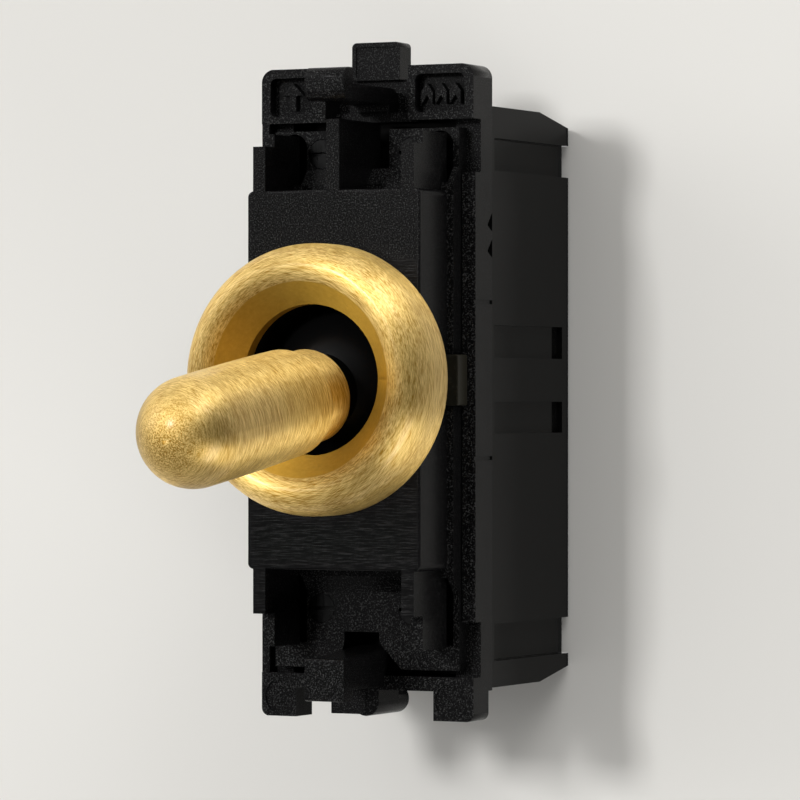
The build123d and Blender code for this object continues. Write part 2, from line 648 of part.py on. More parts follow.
def strip_ribs():
    """Ribs on the rear wall that the strips lie against."""
    strip_rear = strip_front() + STRIP_T
    upper_z = TERMINAL_Z - TERMINAL_H / 2 - RIB_OFFSET
    common_z = COMMON_TERMINAL_Z + TERMINAL_H / 2 + RIB_OFFSET
    common_rear = INSIDE_REAR - COMMON_STRIP_GAP
    places = (
        (-TERMINAL_X, upper_z, strip_rear),
        (-TERMINAL_X, CONTACT_Z, strip_rear),
        (TERMINAL_X, upper_z, strip_rear),
        (TERMINAL_X, -CONTACT_Z, strip_rear),
        (0, common_z, common_rear),
        (0, 0, common_rear),
    )
    ribs = Part()
    for x, z, seat in places:
        ribs += block(x - RIB_T / 2, x + RIB_T / 2, seat, INSIDE_REAR, z - RIB_T / 2, z + RIB_T / 2)
    return ribs


def pin_posts():
    """Posts from the housing's sides that reach forward and hold the pivot pin in its slots."""
    inner = CAVITY_X + PIN_END_GAP
    tip = PIN_REACH - PIN_END_GAP
    rear = FRAME_REAR + POST_FOOT
    post = block(inner, tip, PIVOT_Y + PIN_R + PIN_SEAT_FIT, rear, -POST_HALF_H, POST_HALF_H)
    root = block(inner, INSIDE_W / 2 + POST_ROOT, FRAME_REAR + POST_FOOT_START, rear,
                 -POST_HALF_H, POST_HALF_H)
    return both_sides(post + root)


def rear_housing():
    """Hollow rear case with end webs, screw bosses, ribs, wire entries and screwdriver holes."""
    housing = housing_shell()
    housing -= block(-INSIDE_W / 2, INSIDE_W / 2, FRAME_REAR, INSIDE_REAR, INSIDE_BOTTOM, INSIDE_TOP)
    half = INSIDE_W / 2
    end_webs = block(-half, half, FRAME_REAR, FRAME_REAR + END_WEB_T, PANEL_H / 2, INSIDE_TOP)
    end_webs += block(-half, half, FRAME_REAR, FRAME_REAR + END_WEB_T, INSIDE_BOTTOM, -PANEL_H / 2)
    for x, z in screw_places():
        end_webs -= rod_y(BOSS_OUTER_R, FRAME_REAR, FRAME_REAR + END_WEB_T, x, z)
    housing = housing + end_webs + screw_bosses() + strip_ribs() + pin_posts()
    for x, z in terminal_places():
        end = HOUSING_TOP if z > 0 else HOUSING_BOTTOM
        housing -= rod_z(WIRE_R + ENTRY_FIT, z, end, x, WIRE_Y)
        housing -= rod_y(CLAMP_HEAD_R + HEAD_HOLE_FIT, INSIDE_REAR, HOUSING_REAR, x, z)
    return housing


def terminal_places():
    """Centre (X, Z) of the upper, lower and common terminals."""
    return ((-TERMINAL_X, TERMINAL_Z), (TERMINAL_X, TERMINAL_Z), (0, COMMON_TERMINAL_Z))


def bezel_ring():
    """Turned ring: rounded outside, sharp inner edge, cone and a counterbore for the collar."""
    crest_h = RING_H - RING_WAIST_H
    end = 180 - math.degrees(math.acos(RING_EDGE_IN / RING_ROUND_W))
    centre = (RING_R - RING_ROUND_W, RING_WAIST_H)
    crest = EllipticalCenterArc(centre, RING_ROUND_W, crest_h, start_angle=0, arc_size=end)
    inner = COLLAR_R + RING_FIT
    shoulder = COLLAR_H + RING_FIT
    outline = crest + Polyline(
        crest @ 1,
        (RING_LIP_R, RING_LIP_H),
        (RING_LIP_R, shoulder),
        (inner, shoulder),
        (inner, 0),
        (RING_R - RING_BASE_ROUND, 0),
    )
    outline += CenterArc((RING_R - RING_BASE_ROUND, RING_BASE_ROUND), RING_BASE_ROUND, -90, 90)
    outline += Line((RING_R, RING_BASE_ROUND), (RING_R, RING_WAIST_H))
    face = make_face(outline)
    return revolve(face, Axis.Y).rotate(Axis.X, 180)


def dolly():
    """Turned lever: ball end, slightly barrelled body, rim, neck and spigot."""
    tip = (0, TIP_CENTRE + TIP_R)
    shoulder = (TIP_R, TIP_CENTRE)
    middle = (BODY_R + BODY_BULGE, (TIP_CENTRE + RIM_AT) / 2)
    rim_front = (BODY_R, RIM_AT + RIM_ROUND)
    rim = (BODY_R - RIM_ROUND, RIM_AT)
    outline = CenterArc((0, TIP_CENTRE), TIP_R, 0, 90)
    outline += ThreePointArc(shoulder, middle, rim_front)
    outline += RadiusArc(rim_front, rim, RIM_ROUND)
    spigot_end = NECK_END - SPIGOT_L
    outline += Polyline(rim, (NECK_R, RIM_AT), (NECK_R, NECK_END), (SPIGOT_R, NECK_END),
                        (SPIGOT_R, spigot_end), (0, spigot_end), tip)
    face = make_face(outline)
    lever = revolve(face, Axis.Y).rotate(Axis.X, 180)
    return pose(Pos(0, PIVOT_Y, 0) * lever)


def dolly_actuator():
    """Moulded dome with flat cheeks, pin bore, spigot socket and a tail bored for the plunger."""
    dome = Pos(0, PIVOT_Y, 0) * Sphere(DOME_R)
    dome &= block(-DOME_W / 2, DOME_W / 2, along(DOME_R), along(-DOME_BACK), -DOME_R, DOME_R)
    dome += rod_y(BOSS_R, along(NECK_END), PIVOT_Y)
    dome += rod_y(TAIL_R, PIVOT_Y, along(-TAIL_END))
    dome -= rod_y(SPIGOT_R + SPIGOT_FIT, along(NECK_END), along(NECK_END - SPIGOT_L))
    dome -= rod_y(PLUNGER_BORE_R, along(-PLUNGER_BORE_START), along(-TAIL_END))
    dome -= rod_x(PIN_R + PIN_RUNNING_FIT, -DOME_W / 2, DOME_W / 2, PIVOT_Y)
    return pose(dome)


def pivot_pin():
    """Steel pin across the cover that the actuator turns on."""
    return rod_x(PIN_R, -PIN_REACH + PIN_END_GAP, PIN_REACH - PIN_END_GAP, PIVOT_Y)


def spring_plunger():
    """Round-nosed plunger with a stem that centres the spring."""
    outline = CenterArc((0, NOSE_AT - NOSE_R), NOSE_R, 0, 90)
    stem = PLUNGER_SHOULDER - PLUNGER_STEM_L
    outline += Polyline((NOSE_R, NOSE_AT - NOSE_R), (PLUNGER_R, NOSE_AT - NOSE_R - NOSE_SLOPE),
                        (PLUNGER_R, PLUNGER_SHOULDER), (PLUNGER_STEM_R, PLUNGER_SHOULDER),
                        (PLUNGER_STEM_R, stem), (0, stem), (0, NOSE_AT))
    face = make_face(outline)
    return pose(Pos(0, PIVOT_Y, 0) * revolve(face, Axis.Y))


def snap_spring():
    """Coil spring between the bottom of the tail's bore and the plunger's shoulder."""
    end_space = SPRING_WIRE_R + SPRING_END_GAP
    start = PLUNGER_BORE_START + end_space
    height = PLUNGER_SHOULDER - end_space - start
    coil = Helix(height / SPRING_TURNS, height, SPRING_COIL_R)
    wire = sweep(Plane(coil @ 0, z_dir=coil % 0) * Circle(SPRING_WIRE_R), path=coil, is_frenet=True)
    wire = wire.rotate(Axis.X, -90)
    return pose(Pos(0, PIVOT_Y + start, 0) * wire)


def rock(solid):
    """Tips a solid of the rocker about the fulcrum into its resting place, top end back."""
    return solid.rotate(Axis((0, FULCRUM_Y, 0), (1, 0, 0)), -ROCKER_TILT)


def contact_rocker():
    """See-saw blade with rivet holes and side ears that straddle the knife edge."""
    half_w = ROCKER_W / 2
    front = FULCRUM_Y - ROCKER_T
    half_h = CONTACT_Z + ROCKER_END
    blade = block(-half_w, half_w, front, FULCRUM_Y, -half_h, half_h)
    blade = fillet(blade.edges().filter_by(Axis.Y), ROCKER_CORNER)
    ear = block(half_w, half_w + ROCKER_EAR_T, front, FULCRUM_Y + ROCKER_EAR_DEPTH,
                -ROCKER_EAR_H / 2, ROCKER_EAR_H / 2)
    blade += both_sides(ear)
    for z in (-CONTACT_Z, CONTACT_Z):
        blade -= rod_y(RIVET_TAIL_R + RIVET_FIT, front, FULCRUM_Y, 0, z)
    return rock(blade)


def moving_contact(z):
    """Domed silver rivet through the blade."""
    rear = FULCRUM_Y + CONTACT_T
    head = rod_y(CONTACT_R, FULCRUM_Y, rear, 0, z)
    head &= Pos(0, rear - CONTACT_DOME_R, z) * Sphere(CONTACT_DOME_R)
    front = FULCRUM_Y - ROCKER_T
    tail = rod_y(RIVET_TAIL_R, front - RIVET_TAIL_T, FULCRUM_Y, 0, z)
    return rock(head + tail)


def fixed_contact_face():
    """The Y that the closed moving contact reaches, with the rest gap added."""
    tilt = math.radians(ROCKER_TILT)
    centre = CONTACT_T - CONTACT_DOME_R
    reach = centre * math.cos(tilt) + CONTACT_Z * math.sin(tilt) + CONTACT_DOME_R
    return FULCRUM_Y + reach + CONTACT_GAP


def strip_front():
    """Front face of the upper and lower strips."""
    return fixed_contact_face() + FIXED_CONTACT_T


def fixed_contact(z):
    """Flat silver rivet in a strip."""
    front = fixed_contact_face()
    plane = strip_front()
    head = rod_y(FIXED_CONTACT_R, front, plane, 0, z)
    return head + rod_y(RIVET_TAIL_R, plane, plane + STRIP_T + RIVET_TAIL_T, 0, z)


def terminal_strip(x, z):
    """Flat strip from a terminal at x down to the contact at z, then across to it."""
    front = strip_front()
    rear = front + STRIP_T
    terminal_bottom = TERMINAL_Z - TERMINAL_H / 2
    side = math.copysign(STRIP_W / 2, x)
    leg = block(x - STRIP_W / 2, x + STRIP_W / 2, front, rear, z - STRIP_W / 2, terminal_bottom)
    crossing = block(x + side, -side, front, rear, z - STRIP_W / 2, z + STRIP_W / 2)
    strip = leg + crossing
    return strip - rod_y(RIVET_TAIL_R + RIVET_FIT, front, rear, 0, z)


def common_strip():
    """Strip from the common terminal up behind the others, bent forward to a knife edge."""
    rear = INSIDE_REAR - COMMON_STRIP_GAP
    front = rear - STRIP_T
    top = KNIFE_T / 2
    bottom = COMMON_TERMINAL_Z + TERMINAL_H / 2
    half = COMMON_STRIP_W / 2
    strip = block(-half, half, front, rear, bottom, top)
    tip = FULCRUM_Y + FULCRUM_GAP
    knife = side_profile([
        (tip, 0),
        (tip + KNIFE_POINT, top),
        (front, top),
        (front, -top),
        (tip + KNIFE_POINT, -top),
    ], half)
    return strip + knife


def terminal(x, z):
    """Brass pillar with a wire bore along Z and a tapped clamp hole from the rear."""
    pillar = block(x - TERMINAL_W / 2, x + TERMINAL_W / 2, TERMINAL_FRONT, INSIDE_REAR,
                   z - TERMINAL_H / 2, z + TERMINAL_H / 2)
    pillar -= rod_z(WIRE_R, z - TERMINAL_H / 2, z + TERMINAL_H / 2, x, WIRE_Y)
    return pillar - rod_y(CLAMP_R + CLAMP_FIT, WIRE_Y, INSIDE_REAR, x, z)


def terminal_screw(x, z):
    """Clamp screw, backed out clear of the wire bore."""
    head_front = INSIDE_REAR + CLAMP_HEAD_GAP
    head_rear = head_front + CLAMP_HEAD_T
    screw = rod_y(CLAMP_R, WIRE_Y + WIRE_R + CLAMP_TIP_GAP, head_front, x, z)
    screw += rod_y(CLAMP_HEAD_R, head_front, head_rear, x, z)
    return screw - block(x - CLAMP_HEAD_R, x + CLAMP_HEAD_R, head_rear - CLAMP_SLOT_DEPTH, head_rear,
                         z - CLAMP_SLOT_W / 2, z + CLAMP_SLOT_W / 2)


def case_screws():
    """Four slotted screws that hold the cover, frame and housing together."""
    screws = []
    for x, z in screw_places():
        seat = FLANGE_END_FRONT + SCREW_HEAD_T
        screw = rod_y(SCREW_HEAD_R, FLANGE_END_FRONT, seat, x, z)
        screw += rod_y(SCREW_R, seat, SCREW_END, x, z)
        screw -= block(x - SCREW_HEAD_R, x + SCREW_HEAD_R, FLANGE_END_FRONT,
                       FLANGE_END_FRONT + SCREW_SLOT_DEPTH, z - SCREW_SLOT_W / 2, z + SCREW_SLOT_W / 2)
        screws.append(screw)
    return Compound(children=screws)


def side_clip():
    """Grey clip on the right: a lip over the rail and a leg down to the frame's ledge."""
    inner = PANEL_W / 2 + CLIP_GAP
    front = FLANGE_FRONT - CLIP_PROUD
    leg_out = RAIL_INNER - CLIP_GAP
    clip = block(inner, PANEL_W / 2 + CLIP_REACH, front, RAIL_FRONT, -CLIP_H / 2, CLIP_H / 2)
    return clip + block(inner, leg_out, RAIL_FRONT, RAIL_END_FRONT, -CLIP_H / 2, CLIP_H / 2)


def build_all():
    """Every node by name."""
    upper, lower, common = terminal_places()
    clip = side_clip()
    return {
        "carrier_frame": carrier_frame(),
        "front_cover": front_cover(),
        "rear_housing": rear_housing(),
        "bezel_ring": bezel_ring(),
        "dolly": dolly(),
        "dolly_actuator": dolly_actuator(),
        "pivot_pin": pivot_pin(),
        "snap_spring": snap_spring(),
        "spring_plunger": spring_plunger(),
        "contact_rocker": contact_rocker(),
        "upper_moving_contact": moving_contact(CONTACT_Z),
        "lower_moving_contact": moving_contact(-CONTACT_Z),
        "upper_fixed_contact": fixed_contact(CONTACT_Z),
        "lower_fixed_contact": fixed_contact(-CONTACT_Z),
        "upper_strip": terminal_strip(-TERMINAL_X, CONTACT_Z),
        "lower_strip": terminal_strip(TERMINAL_X, -CONTACT_Z),
        "common_strip": common_strip(),
        "upper_terminal": terminal(*upper),
        "lower_terminal": terminal(*lower),
        "common_terminal": terminal(*common),
        "upper_screw": terminal_screw(*upper),
        "lower_screw": terminal_screw(*lower),
        "common_screw": terminal_screw(*common),
        "case_screws": case_screws(),
        "side_clip_right": clip,
        "side_clip_left": mirror(clip, about=Plane.YZ),
    }


os.makedirs("parts", exist_ok=True)
for name, solid in build_all().items():
    export_step(solid, f"parts/{name}.step")
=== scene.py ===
import math

import bmesh
import bpy
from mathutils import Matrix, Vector


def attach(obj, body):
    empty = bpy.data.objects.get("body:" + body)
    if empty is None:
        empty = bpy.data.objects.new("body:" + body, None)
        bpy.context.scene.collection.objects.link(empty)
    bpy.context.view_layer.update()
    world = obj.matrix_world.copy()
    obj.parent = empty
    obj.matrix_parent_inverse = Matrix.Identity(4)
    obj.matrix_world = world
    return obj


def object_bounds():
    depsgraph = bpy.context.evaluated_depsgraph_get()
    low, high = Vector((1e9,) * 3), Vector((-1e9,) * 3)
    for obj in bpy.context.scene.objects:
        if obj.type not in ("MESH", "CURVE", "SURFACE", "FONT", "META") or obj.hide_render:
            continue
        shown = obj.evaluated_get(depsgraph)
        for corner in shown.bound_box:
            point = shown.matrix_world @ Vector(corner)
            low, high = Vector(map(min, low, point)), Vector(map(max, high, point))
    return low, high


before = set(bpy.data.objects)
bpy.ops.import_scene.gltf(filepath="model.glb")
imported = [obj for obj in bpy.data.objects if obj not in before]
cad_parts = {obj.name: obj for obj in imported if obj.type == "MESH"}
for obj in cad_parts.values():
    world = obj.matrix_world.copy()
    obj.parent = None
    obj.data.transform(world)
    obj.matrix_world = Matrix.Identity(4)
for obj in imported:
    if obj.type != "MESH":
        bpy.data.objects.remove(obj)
CAD_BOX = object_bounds()

# Everything is in metres, in the frame's own axes: X across, Y to the rear, Z up.
MM = 0.001

# The photograph's viewpoint
VIEW_AZIMUTH = math.radians(26.714)
VIEW_DISTANCE = 357.26 * MM
VIEW_RIGHT = 5.088 * MM
VIEW_UP = -1.512 * MM
LENS = 212.63
SENSOR = 36.0
NEAREST_SEEN = 0.01

# Stage
PALE = (0.745, 0.733, 0.701)
BACKDROP_GAP = 0.2 * MM
BACKDROP_CLEAR_WITHIN = 1.0 * MM
BACKDROP_SIZE = 3.0

# World: its strengths, and the parts of a direction between which each one changes
WORLD_COLOUR = (1, 0.99, 0.975)
WORLD_FRONT = 0.43
WORLD_BEHIND = 0.72
FRONT_TO_BEHIND = (-0.45, 0.05)
WORLD_LOW = 0.65
WORLD_HIGH = 1.7
LOW_TO_HIGH = (-0.5, 0.8)
WORLD_RIGHT_DIM = 0.92
MIDDLE_TO_RIGHT = (0.1, 0.5)
LEVEL_TO_STEEP = (0.2, 0.6)

# Lights
LIGHT_DISTANCE = 3.0
KEY_DIRECTION = (-0.34, -1.0, 0.30)
KEY_SIZE = 0.45
KEY_POWER = 41.0
FILL_SIZE = 1.6
FILLS = (
    ("fill_left", (-0.82, -0.46, 0.34), 19.0),
    ("fill_high_right", (0.46, -0.36, 0.81), 34.0),
    ("fill_low_right", (0.74, -0.08, -0.67), 56.0),
)

# Brass, as written for a plain light
BRASS_DEEP = (0.36, 0.195, 0.018)
BRASS_BRIGHT = (0.86, 0.64, 0.24)
LACQUER = 0.4
LACQUER_ROUGHNESS = 0.24
CONE_DEEP = (0.43, 0.245, 0.028)
CONE_BRIGHT = (0.60, 0.37, 0.06)
CONE_GRAIN = 3000
ANISOTROPY = 0.9
QUARTER_TURN = 0.25
RING_ROUGHNESS = 0.48
DOLLY_ROUGHNESS = 0.5
ROUGHNESS_SPREAD = 0.08
ROUGHNESS_FROM = (0.35, 0.65)
BRUSH_DEPTH = 0.0035 * MM
TONE_FROM = (0.41, 0.59)
BRUSH_SHARE = 0.9
CLOUD_SHARE = 0.1
CLOUD_GRAIN = 240

# Scratches that lean either way: how fine, how long, and how far they lean
SCRATCHES_LEFT = (14000, 1.5 * MM, 0.22)
SCRATCHES_RIGHT = (11000, 2.1 * MM, -0.16)
SCRATCH_DETAIL = 4.0
SCRATCH_ROUGHNESS = 0.65

# Places on the object
PANEL_SMOOTH_BELOW = 9.05 * MM
PANEL_FRONT_DEPTH = 0.4 * MM
RING_EDGE_R = 7.36 * MM
RING_EDGE_BLEND = 0.03 * MM
PIVOT = Vector((0, 4.4 * MM, 0))
DOLLY_TILT = math.radians(8.3)
TIP_FROM_PIVOT = 26.3 * MM
TIP_GRAIN = 9000
TIP_ROUGHER = 0.12
TIP_PLAIN_R = 1.0 * MM
TIP_BRUSHED_R = 3.4 * MM

# Mouldings: colour, the lighter colour painted on the raised grain as painted glints, roughness,
# depth and fineness of the texture, specular level, and the nodes that they are on
BLACK = (0.0030, 0.0030, 0.0031)
# A lighter colour painted on the raised grain of the black mouldings: painted glints
BLACK_PAINTED_GLINTS = (0.07, 0.07, 0.069)
NYLONS = {
    "frame_nylon": (BLACK, BLACK_PAINTED_GLINTS, 0.24, 0.02 * MM, 9000, 0.065, ("carrier_frame",)),
    "cover_nylon": (BLACK, BLACK_PAINTED_GLINTS, 0.24, 0.02 * MM, 9000, 0.065, ("front_cover",)),
    "housing_nylon": ((0.0028, 0.0028, 0.0027), (0.0045, 0.0045, 0.0043),
                      0.12, 0.0008 * MM, 2500, 0.05, ("rear_housing",)),
    "actuator_nylon": (BLACK, (0.003, 0.003, 0.003),
                       0.35, 0.002 * MM, 2500, 0.1, ("dolly_actuator",)),
    "clip_nylon": ((0.013, 0.012, 0.0085), (0.026, 0.024, 0.018),
                   0.4, 0.003 * MM, 3000, 0.1, ("side_clip_right", "side_clip_left")),
    "natural_nylon": ((0.6, 0.57, 0.48), (0.66, 0.63, 0.54),
                      0.45, 0.002 * MM, 3000, 0.3, ("spring_plunger",)),
}
GRAIN_ROUGHNESS = 0.7
GRAIN_FROM = (0.53, 0.7)
GLOSS_CLOUD = 420
GLOSS_CLOUD_ROUGHNESS = 0.5
GLOSS_SPREAD = 0.03
FACING_FRONT = (-0.85, -0.4)
# Share of the raised grain and its painted glints on faces that don't look to the front
GRAINS_AND_GLINTS_ELSEWHERE = 0.2
PANEL_SCRATCHES = 14000
PANEL_SCRATCH_STRETCH = (0.04, 1, 1)
PANEL_SCRATCH_FROM = (0.5, 0.75)
# The scratches' height also sets how much painted glint colour they carry
PANEL_SCRATCH_HEIGHT = 0.3

# Other metals: colour, roughness, fineness of the streaks, and the nodes that they are on
METALS = {
    "terminal_brass": ((0.72, 0.53, 0.24), 0.3, 3000,
                       ("upper_terminal", "lower_terminal", "common_terminal")),
    "strip_brass": ((0.76, 0.58, 0.3), 0.25, 3000,
                    ("upper_strip", "lower_strip", "common_strip", "contact_rocker")),
    "contact_silver": ((0.82, 0.81, 0.78), 0.3, 3000,
                       ("upper_moving_contact", "lower_moving_contact",
                        "upper_fixed_contact", "lower_fixed_contact")),
    "plated_steel": ((0.5, 0.5, 0.5), 0.35, 3000,
                     ("pivot_pin", "upper_screw", "lower_screw", "common_screw")),
    "black_steel": ((0.008, 0.008, 0.008), 0.3, 5200, ("case_screws",)),
    "spring_steel": ((0.45, 0.45, 0.47), 0.25, 3000, ("snap_spring",)),
}
STREAK_STRETCH = (1, 1, 0.15)
STREAK_DEPTH = 0.004 * MM
STREAK_BRIGHTER = 1.15
METAL_ROUGHNESS_SPREAD = (0.05, 0.1)

# Any noise: how many octaves it has where few will do, and the range that most of it lies in
FEW_OCTAVES = 3
MIDDLE_OF_NOISE = (0.3, 0.7)

# Softened edges of the mouldings
SOFTENED = ("carrier_frame", "front_cover", "rear_housing", "side_clip_right", "side_clip_left")
SOFT_WIDTH = 0.12 * MM
SOFT_SEGMENTS = 2
SOFT_FROM = math.radians(35)
FLAT_WITHIN = math.radians(2)
WELD_WITHIN = 0.001 * MM

# Raised marks in the tag pockets, with their outlines in mm from their own middle
ARROW = ((-0.28, -1.05), (0.28, -1.05), (0.28, 0.1), (0.95, 0.1), (0, 1.1), (-0.95, 0.1),
         (-0.28, 0.1))
CHEVRON = ((-0.5, -0.9), (0, -0.2), (0.5, -0.9), (0.5, 0.1), (0, 0.8), (-0.5, 0.1))
TAG_TOP = 23.35 * MM
TAG_H = 2.95 * MM
TAG_LEFT_X = -6.475 * MM
TAG_RIGHT_X = 6.26 * MM
TAG_Y = (5.8 * MM, 6.5 * MM)
CHEVRON_PITCH = 1.2 * MM
MARK_EDGE = 0.06 * MM

# Small moulded forms as left, right, bottom and top, and each one's front and rear
CATCH_WEB = (-3.5 * MM, 3.5 * MM, 22.6 * MM, 23.15 * MM)
CATCH_WEB_Y = (8.05 * MM, 8.85 * MM)
LUG_TOP = (-9.1 * MM, -8.43 * MM, 18.28 * MM, 19.9 * MM)
LUG_BOTTOM = (-9.1 * MM, -8.43 * MM, -22.65 * MM, -18.26 * MM)
LUG_Y = (5.6 * MM, 6.95 * MM)


def new_material(name):
    """An empty node material with a Principled shader."""
    made = bpy.data.materials.new(name)
    made.use_nodes = True
    return made


def shader(material):
    """The material's Principled shader."""
    return material.node_tree.nodes["Principled BSDF"]


def add(material, kind, **sockets):
    """A new node, with input sockets set by name. An underscore in a name stands for a space."""
    made = material.node_tree.nodes.new(kind)
    for name, value in sockets.items():
        made.inputs[name.replace("_", " ")].default_value = value
    return made


def link(material, source, target):
    """Joins an output socket to an input socket."""
    material.node_tree.links.new(source, target)


def math_node(material, operation, first, second=None):
    """A Math node whose inputs are sockets or numbers."""
    made = material.node_tree.nodes.new("ShaderNodeMath")
    made.operation = operation
    for socket, value in zip(made.inputs, (first, second)):
        if value is None:
            continue
        if isinstance(value, (int, float)):
            socket.default_value = value
        else:
            link(material, value, socket)
    return made.outputs[0]


def object_point(material, turn=(0, 0, 0), origin=(0, 0, 0)):
    """The surface point in the object's own axes, moved to an origin and turned."""
    where = add(material, "ShaderNodeTexCoord")
    moved = material.node_tree.nodes.new("ShaderNodeVectorMath")
    moved.operation = "SUBTRACT"
    link(material, where.outputs["Object"], moved.inputs[0])
    moved.inputs[1].default_value = origin
    turned = add(material, "ShaderNodeMapping")
    turned.inputs["Rotation"].default_value = turn
    link(material, moved.outputs[0], turned.inputs["Vector"])
    return turned.outputs[0]


def stretched(material, point, scale):
    """The point with each axis scaled, for noise drawn out along one way."""
    made = add(material, "ShaderNodeMapping")
    made.inputs["Scale"].default_value = scale
    link(material, point, made.inputs["Vector"])
    return made.outputs[0]


def noise(material, point, scale, detail=4.0, rough=0.6):
    """Noise over a point."""
    made = add(material, "ShaderNodeTexNoise", Scale=scale, Detail=detail, Roughness=rough)
    link(material, point, made.inputs["Vector"])
    return made.outputs["Fac"]


def ramp(material, value, low, high, low_to, high_to):
    """Maps a value from one range to another, clamped."""
    made = add(material, "ShaderNodeMapRange",
               From_Min=low, From_Max=high, To_Min=low_to, To_Max=high_to)
    link(material, value, made.inputs["Value"])
    return made.outputs["Result"]


def blend_numbers(material, factor, first, second):
    """Mixes two numbers by a factor."""
    made = material.node_tree.nodes.new("ShaderNodeMix")
    link(material, factor, made.inputs["Factor"])
    link(material, first, made.inputs["A"])
    link(material, second, made.inputs["B"])
    return made.outputs["Result"]


def blend_colours(material, factor, first, second):
    """Mixes two colours by a factor. Each is a socket or a written colour."""
    made = material.node_tree.nodes.new("ShaderNodeMix")
    made.data_type = "RGBA"
    link(material, factor, made.inputs["Factor"])
    for name, colour in (("A", first), ("B", second)):
        if isinstance(colour, tuple):
            made.inputs[name].default_value = (*colour, 1)
        else:
            link(material, colour, made.inputs[name])
    return made.outputs["Result"]


def weighted(material, first, first_share, second, second_share):
    """The sum of two values, each times its share. A share is a number or a socket."""
    return math_node(material, "ADD", math_node(material, "MULTIPLY", first, first_share),
                     math_node(material, "MULTIPLY", second, second_share))


def parts_of(material, point):
    """The X, Y and Z of a point or direction."""
    made = add(material, "ShaderNodeSeparateXYZ")
    link(material, point, made.inputs[0])
    return made.outputs


def from_axis(material, point):
    """How far a point is from the local Y axis."""
    x, _, z = parts_of(material, point)
    return math_node(material, "SQRT", weighted(material, x, x, z, z))


def bump(material, height, depth):
    """A bump of a real depth in metres."""
    made = add(material, "ShaderNodeBump", Strength=1.0, Distance=depth)
    link(material, height, made.inputs["Height"])
    return made.outputs["Normal"]


def turned_grain(material, point, scale, length, slant):
    """Noise drawn out round the local Y axis: scratches a length long, leaning over by a slant."""
    x, y, z = parts_of(material, point)
    leant = math_node(material, "ADD", from_axis(material, point),
                      math_node(material, "MULTIPLY", x, slant))
    lifted = math_node(material, "ADD", y, math_node(material, "MULTIPLY", z, slant))
    where = add(material, "ShaderNodeCombineXYZ")
    drawn = 1 / (length * scale)
    link(material, math_node(material, "MULTIPLY", x, drawn), where.inputs[0])
    link(material, math_node(material, "MULTIPLY", z, drawn), where.inputs[1])
    link(material, leant, where.inputs[2])
    made = add(material, "ShaderNodeTexNoise", Detail=SCRATCH_DETAIL, Roughness=SCRATCH_ROUGHNESS)
    made.noise_dimensions = "4D"
    made.inputs["Scale"].default_value = scale
    link(material, where.outputs[0], made.inputs["Vector"])
    link(material, lifted, made.inputs["W"])
    return made.outputs["Fac"]


def round_tangent(material, point, tilt):
    """The way that the brushing runs: round the local Y axis, given in world space."""
    axis = (0, math.cos(tilt), math.sin(tilt))
    made = material.node_tree.nodes.new("ShaderNodeVectorMath")
    made.operation = "CROSS_PRODUCT"
    made.inputs[0].default_value = axis
    link(material, point, made.inputs[1])
    world = material.node_tree.nodes.new("ShaderNodeVectorTransform")
    world.vector_type = "VECTOR"
    world.convert_from = "OBJECT"
    world.convert_to = "WORLD"
    link(material, made.outputs[0], world.inputs[0])
    return world.outputs[0]


def away_from_pole(material, point):
    """0 at the middle of the dolly's rounded tip, rising to 1 where its brushing starts."""
    body = math_node(material, "GREATER_THAN", parts_of(material, point)[1], -TIP_FROM_PIVOT)
    rise = ramp(material, from_axis(material, point), TIP_PLAIN_R, TIP_BRUSHED_R, 0.0, 1.0)
    return math_node(material, "MAXIMUM", body, rise)


def brushed_brass(name, tilt=0.0, origin=(0, 0, 0), roughness=RING_ROUGHNESS, has_tip=False):
    """Brushed brass with short scratches round the piece's own axis, leaning either way."""
    made = new_material(name)
    bsdf = shader(made)
    bsdf.inputs["Metallic"].default_value = 1.0
    bsdf.inputs["Anisotropic"].default_value = ANISOTROPY
    bsdf.inputs["Anisotropic Rotation"].default_value = QUARTER_TURN
    bsdf.inputs["Coat Weight"].default_value = LACQUER
    bsdf.inputs["Coat Roughness"].default_value = LACQUER_ROUGHNESS
    point = object_point(made, (-tilt, 0, 0), origin)
    left = turned_grain(made, point, *SCRATCHES_LEFT)
    right = turned_grain(made, point, *SCRATCHES_RIGHT)
    fine = weighted(made, left, 0.5, right, 0.5)
    if has_tip:
        brushed = away_from_pole(made, point)
        fine = blend_numbers(made, brushed, noise(made, point, TIP_GRAIN, FEW_OCTAVES), fine)
        link(made, math_node(made, "MULTIPLY", brushed, ANISOTROPY), bsdf.inputs["Anisotropic"])
    cloud = noise(made, point, CLOUD_GRAIN, FEW_OCTAVES)
    tone = weighted(made, fine, BRUSH_SHARE, cloud, CLOUD_SHARE)
    colour = blend_colours(made, ramp(made, tone, *TONE_FROM, 0.0, 1.0), BRASS_DEEP, BRASS_BRIGHT)
    link(made, colour, bsdf.inputs["Base Color"])
    untilted = object_point(made, (0, 0, 0), origin)
    link(made, round_tangent(made, untilted, tilt), bsdf.inputs["Tangent"])
    rough = ramp(made, fine, *ROUGHNESS_FROM,
                 roughness - ROUGHNESS_SPREAD, roughness + ROUGHNESS_SPREAD)
    if has_tip:
        rough = math_node(made, "ADD", rough, ramp(made, brushed, 0.0, 1.0, TIP_ROUGHER, 0.0))
    link(made, rough, bsdf.inputs["Roughness"])
    link(made, bump(made, fine, BRUSH_DEPTH), bsdf.inputs["Normal"])
    return made


def ring_brass():
    """The ring's brass: brushed outside, and of a duller, more even colour inside its edge."""
    made = brushed_brass("ring_brass")
    target = shader(made).inputs["Base Color"]
    point = object_point(made)
    inside = ramp(made, from_axis(made, point),
                  RING_EDGE_R - RING_EDGE_BLEND, RING_EDGE_R + RING_EDGE_BLEND, 1.0, 0.0)
    cone = blend_colours(made, noise(made, point, CONE_GRAIN, FEW_OCTAVES), CONE_DEEP, CONE_BRIGHT)
    link(made, blend_colours(made, inside, target.links[0].from_socket, cone), target)
    return made


